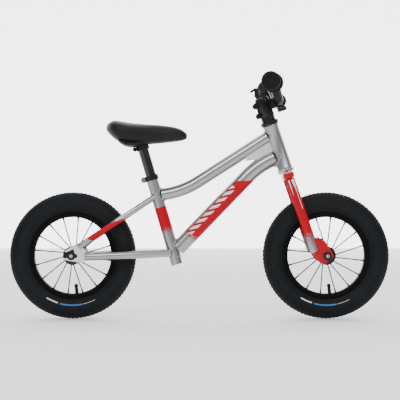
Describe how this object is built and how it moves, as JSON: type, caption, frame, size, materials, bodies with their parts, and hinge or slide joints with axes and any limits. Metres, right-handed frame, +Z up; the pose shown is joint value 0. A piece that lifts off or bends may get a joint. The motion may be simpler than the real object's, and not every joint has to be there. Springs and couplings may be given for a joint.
{
  "type": "balance bike",
  "caption": "Children's pedal-less balance bike with an aluminium frame, rigid fork, wide low-pressure tyres, riser bars with a bell, and a height-adjustable saddle.",
  "frame": {"origin": "on the ground, midway between the two wheel axles, in the bike's centre plane", "axes": "+X forwards, +Y to the rider's left, +Z up"},
  "size_m": [0.915, 0.4338, 0.5828],
  "materials": {
    "frame_silver": "brushed and clear-coated, bright",
    "steel": "zinc-plated",
    "red_paint": "gloss",
    "black_metal": "satin black",
    "tyre_rubber": "matte",
    "grip_rubber": "matte",
    "black_plastic": "matte",
    "saddle_cover": "synthetic leather, matte"
  },
  "bodies": {
    "frame": {"head_tube": "frame_silver", "seat_tube": "frame_silver", "top_tube": "frame_silver", "down_tube": "frame_silver", "chain_stay_right": "frame_silver", "seat_stay_right": "frame_silver", "dropout_right": "frame_silver", "chain_stay_left": "frame_silver", "seat_stay_left": "frame_silver", "dropout_left": "frame_silver", "throat_gusset": "frame_silver", "lower_gusset": "frame_silver", "lower_headset_cup": "frame_silver", "lower_headset_bearing": "steel", "upper_headset_cup": "black_metal", "upper_headset_bearing": "steel", "seat_clamp": "black_metal", "seat_clamp_bolt": "steel", "rear_axle": "steel", "rear_axle_nut_right": "black_metal", "rear_axle_nut_left": "black_metal"},
    "seat": {"seat_post": "black_metal", "saddle_base": "black_plastic", "saddle_cover": "saddle_cover", "saddle_clamp_bolt": "steel"},
    "fork": {"fork_crown": "red_paint", "steerer_tube": "steel", "crown_race": "frame_silver", "fork_leg_right": "red_paint", "fork_dropout_right": "red_paint", "fork_leg_left": "red_paint", "fork_dropout_left": "red_paint", "headset_cover": "black_metal", "stem": "black_metal", "stem_faceplate": "black_metal", "stem_pinch_bolt_upper": "steel", "faceplate_bolt_upper": "steel", "stem_pinch_bolt_lower": "steel", "faceplate_bolt_lower": "steel", "stem_top_cap": "black_metal", "front_axle": "steel", "front_axle_nut_right": "black_metal", "front_axle_nut_left": "black_metal"},
    "bars": {"handlebar": "black_metal", "grip_right": "grip_rubber", "grip_left": "grip_rubber", "bell_clamp": "black_plastic", "bell_dome": "black_metal"},
    "bell_lever": {"bell_lever": "black_plastic"},
    "front_wheel": {"front_tyre": "tyre_rubber", "front_inner_tube": "tyre_rubber", "front_rim": "black_metal", "front_hub_spokes": "steel", "front_valve": "black_metal"},
    "rear_wheel": {"rear_tyre": "tyre_rubber", "rear_inner_tube": "tyre_rubber", "rear_rim": "black_metal", "rear_hub_spokes": "steel", "rear_valve": "black_metal"}
  },
  "joints": [
    {"name": "rear_wheel_spin", "type": "hinge", "parent": "frame", "child": "rear_wheel", "pos_m": [-0.305, 0, 0.1525], "axis": [0, 1, 0], "continuous": true},
    {"name": "steering", "type": "hinge", "parent": "frame", "child": "fork", "pos_m": [0.27827, 0, 0.1525], "axis": [-0.3223, 0, 0.9466], "continuous": true},
    {"name": "front_wheel_spin", "type": "hinge", "parent": "fork", "child": "front_wheel", "pos_m": [0.305, 0, 0.1525], "axis": [0, 1, 0], "continuous": true},
    {"name": "bar_roll", "type": "hinge", "parent": "fork", "child": "bars", "pos_m": [0.19097, 0, 0.52377], "axis": [0, 1, 0], "range_deg": [-15, 15]},
    {"name": "seat_height", "type": "slide", "parent": "frame", "child": "seat", "axis": [-0.284, 0, 0.9588], "range_m": [-0.055, 0.03]},
    {"name": "bell_lever_press", "type": "hinge", "parent": "bars", "child": "bell_lever", "pos_m": [0.15535, -0.088, 0.5337], "axis": [0, -1, 0], "range_deg": [0, 20], "stiffness_Nm_per_rad": 0.05, "springref_deg": -5.73}
  ]
}
